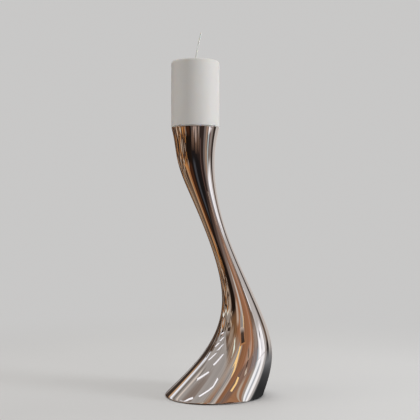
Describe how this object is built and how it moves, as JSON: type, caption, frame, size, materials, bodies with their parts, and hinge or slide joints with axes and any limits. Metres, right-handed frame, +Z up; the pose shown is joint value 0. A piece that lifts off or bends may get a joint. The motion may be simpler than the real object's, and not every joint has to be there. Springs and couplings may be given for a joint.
{
  "type": "pillar candlestick",
  "caption": "Tall S-curved candlestick in mirror-polished metal with a flared oval foot, carrying a white pillar candle.",
  "frame": {"origin": "on the candle's vertical axis, at the table plane under the base pad", "axes": "+Z up along the candle's axis, +X towards the bulging heel that the foot swings out to, +Y to the back; the stand mirrors about the plane y = 0"},
  "size_m": [0.1546, 0.124, 0.5255],
  "materials": {
    "polished_steel": "mirror-polished stainless steel",
    "plain_steel": "plain machined steel",
    "cement": "rough poured cement",
    "brass": "turned brass",
    "felt": "black felt",
    "wax": "smooth white candle wax",
    "cotton": "waxed braided cotton"
  },
  "bodies": {
    "stand": {"stand_shell": "polished_steel", "candle_plate": "plain_steel", "candle_spike": "plain_steel", "spike_washer": "plain_steel", "spike_nut": "plain_steel", "ballast": "cement", "screw_inserts": "brass", "base_plate": "plain_steel", "base_screws": "plain_steel", "base_pad": "felt"},
    "candle": {"candle_wax": "wax", "wick": "cotton"}
  },
  "joints": [
    {"name": "candle_lift", "type": "slide", "parent": "stand", "child": "candle", "axis": [0, 0, 1], "range_m": [0, 0.04]}
  ]
}
